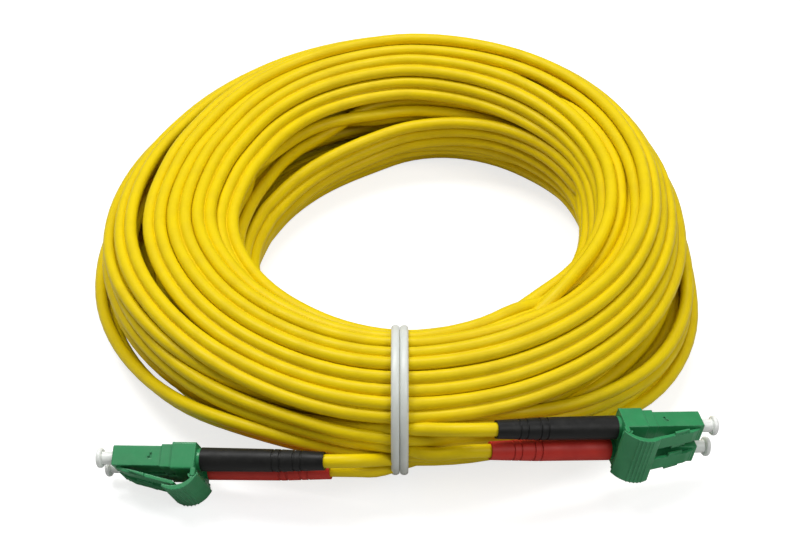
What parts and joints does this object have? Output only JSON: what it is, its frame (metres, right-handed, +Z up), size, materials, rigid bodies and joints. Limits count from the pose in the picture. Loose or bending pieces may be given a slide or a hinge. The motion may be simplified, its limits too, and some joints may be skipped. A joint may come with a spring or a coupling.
{
  "type": "fiber optic patch cord",
  "caption": "Tied coil of two-strand fibre patch cord with clipped pairs of capped small-form plugs at its ends, for linking two ports.",
  "frame": {"origin": "middle of the coil, on the plane that it lies on", "axes": "+Z up out of the lying coil; -Y towards the tie and both plug pairs; +X along the front of the coil towards the right pair"},
  "size_m": [0.149, 0.1547, 0.033],
  "materials": {
    "yellow_jacket": "soft satin cord jacket",
    "white_tie": "smooth white tie cord",
    "green_plastic": "moulded, half gloss",
    "black_boot": "satin soft plastic",
    "red_boot": "satin soft plastic",
    "clear_cap": "milky, lets light through",
    "white_ceramic": "polished ceramic",
    "plated_brass": "nickel plated",
    "spring_steel": "bright wire"
  },
  "bodies": {
    "coil_and_plugs": {"coil": "yellow_jacket", "tie_loop_1": "white_tie", "tie_loop_2": "white_tie", "tie_knot": "white_tie", "right_clip": "green_plastic", "left_clip": "green_plastic", "right_black_housing": "green_plastic", "right_black_spring": "spring_steel", "right_black_backbone": "green_plastic", "right_black_crimp_sleeve": "plated_brass", "right_black_stripped_end": "yellow_jacket", "right_black_boot": "black_boot", "right_black_leg": "yellow_jacket", "right_red_housing": "green_plastic", "right_red_spring": "spring_steel", "right_red_backbone": "green_plastic", "right_red_crimp_sleeve": "plated_brass", "right_red_stripped_end": "yellow_jacket", "right_red_boot": "red_boot", "right_red_leg": "yellow_jacket", "left_black_housing": "green_plastic", "left_black_spring": "spring_steel", "left_black_backbone": "green_plastic", "left_black_crimp_sleeve": "plated_brass", "left_black_stripped_end": "yellow_jacket", "left_black_boot": "black_boot", "left_black_leg": "yellow_jacket", "left_red_housing": "green_plastic", "left_red_spring": "spring_steel", "left_red_backbone": "green_plastic", "left_red_crimp_sleeve": "plated_brass", "left_red_stripped_end": "yellow_jacket", "left_red_boot": "red_boot", "left_red_leg": "yellow_jacket"},
    "right_trigger": {"right_trigger": "green_plastic"},
    "left_trigger": {"left_trigger": "green_plastic"},
    "right_black_latch": {"right_black_latch": "green_plastic"},
    "right_black_ferrule": {"right_black_ferrule": "white_ceramic", "right_black_ferrule_holder": "plated_brass"},
    "right_black_dust_cap": {"right_black_dust_cap": "clear_cap"},
    "right_red_latch": {"right_red_latch": "green_plastic"},
    "right_red_ferrule": {"right_red_ferrule": "white_ceramic", "right_red_ferrule_holder": "plated_brass"},
    "right_red_dust_cap": {"right_red_dust_cap": "clear_cap"},
    "left_black_latch": {"left_black_latch": "green_plastic"},
    "left_black_ferrule": {"left_black_ferrule": "white_ceramic", "left_black_ferrule_holder": "plated_brass"},
    "left_black_dust_cap": {"left_black_dust_cap": "clear_cap"},
    "left_red_latch": {"left_red_latch": "green_plastic"},
    "left_red_ferrule": {"left_red_ferrule": "white_ceramic", "left_red_ferrule_holder": "plated_brass"},
    "left_red_dust_cap": {"left_red_dust_cap": "clear_cap"}
  },
  "joints": [
    {"name": "right_trigger_press", "type": "hinge", "parent": "coil_and_plugs", "child": "right_trigger", "pos_m": [0.04623, -0.07256, 0.01524], "axis": [0.1877, 0.0427, 0.9813], "range_deg": [0, 9], "stiffness_Nm_per_rad": 0.02},
    {"name": "left_trigger_press", "type": "hinge", "parent": "coil_and_plugs", "child": "left_trigger", "pos_m": [-0.04483, -0.07476, 0.00795], "axis": [0.1938, 0.4321, -0.8808], "range_deg": [0, 9], "stiffness_Nm_per_rad": 0.02},
    {"name": "right_black_latch_press", "type": "hinge", "parent": "coil_and_plugs", "child": "right_black_latch", "pos_m": [0.06307, -0.06688, 0.01495], "axis": [-0.1877, -0.0427, -0.9813], "range_deg": [0, 4.7], "stiffness_Nm_per_rad": 0.01},
    {"name": "right_black_ferrule_float", "type": "slide", "parent": "coil_and_plugs", "child": "right_black_ferrule", "axis": [0.9569, 0.2174, -0.1925], "range_m": [-0.0009, 0], "stiffness_N_per_m": 1000, "springref_m": 0.0045, "deforming": ["right_black_spring"]},
    {"name": "right_black_cap_pull", "type": "slide", "parent": "coil_and_plugs", "child": "right_black_dust_cap", "axis": [0.9569, 0.2174, -0.1925], "range_m": [0, 0.012]},
    {"name": "right_red_latch_press", "type": "hinge", "parent": "coil_and_plugs", "child": "right_red_latch", "pos_m": [0.0619, -0.06715, 0.00882], "axis": [-0.1877, -0.0427, -0.9813], "range_deg": [0, 4.7], "stiffness_Nm_per_rad": 0.01},
    {"name": "right_red_ferrule_float", "type": "slide", "parent": "coil_and_plugs", "child": "right_red_ferrule", "axis": [0.9569, 0.2174, -0.1925], "range_m": [-0.0009, 0], "stiffness_N_per_m": 1000, "springref_m": 0.0045, "deforming": ["right_red_spring"]},
    {"name": "right_red_cap_pull", "type": "slide", "parent": "coil_and_plugs", "child": "right_red_dust_cap", "axis": [0.9569, 0.2174, -0.1925], "range_m": [0, 0.012]},
    {"name": "left_black_latch_press", "type": "hinge", "parent": "coil_and_plugs", "child": "left_black_latch", "pos_m": [-0.06232, -0.07182, 0.0091], "axis": [-0.1938, -0.4321, 0.8808], "range_deg": [0, 4.7], "stiffness_Nm_per_rad": 0.01},
    {"name": "left_black_ferrule_float", "type": "slide", "parent": "coil_and_plugs", "child": "left_black_ferrule", "axis": [-0.9781, 0.1549, -0.1392], "range_m": [-0.0009, 0], "stiffness_N_per_m": 1000, "springref_m": 0.0045, "deforming": ["left_black_spring"]},
    {"name": "left_black_cap_pull", "type": "slide", "parent": "coil_and_plugs", "child": "left_black_dust_cap", "axis": [-0.9781, 0.1549, -0.1392], "range_m": [0, 0.012]},
    {"name": "left_red_latch_press", "type": "hinge", "parent": "coil_and_plugs", "child": "left_red_latch", "pos_m": [-0.06111, -0.06912, 0.00359], "axis": [-0.1938, -0.4321, 0.8808], "range_deg": [0, 4.7], "stiffness_Nm_per_rad": 0.01},
    {"name": "left_red_ferrule_float", "type": "slide", "parent": "coil_and_plugs", "child": "left_red_ferrule", "axis": [-0.9781, 0.1549, -0.1392], "range_m": [-0.0009, 0], "stiffness_N_per_m": 1000, "springref_m": 0.0045, "deforming": ["left_red_spring"]},
    {"name": "left_red_cap_pull", "type": "slide", "parent": "coil_and_plugs", "child": "left_red_dust_cap", "axis": [-0.9781, 0.1549, -0.1392], "range_m": [0, 0.012]}
  ],
  "couplings": [
    {"joint": "right_black_latch_press", "follows": "right_trigger_press", "ratio": 0.52222},
    {"joint": "right_red_latch_press", "follows": "right_trigger_press", "ratio": 0.52222},
    {"joint": "left_black_latch_press", "follows": "left_trigger_press", "ratio": 0.52222},
    {"joint": "left_red_latch_press", "follows": "left_trigger_press", "ratio": 0.52222}
  ]
}
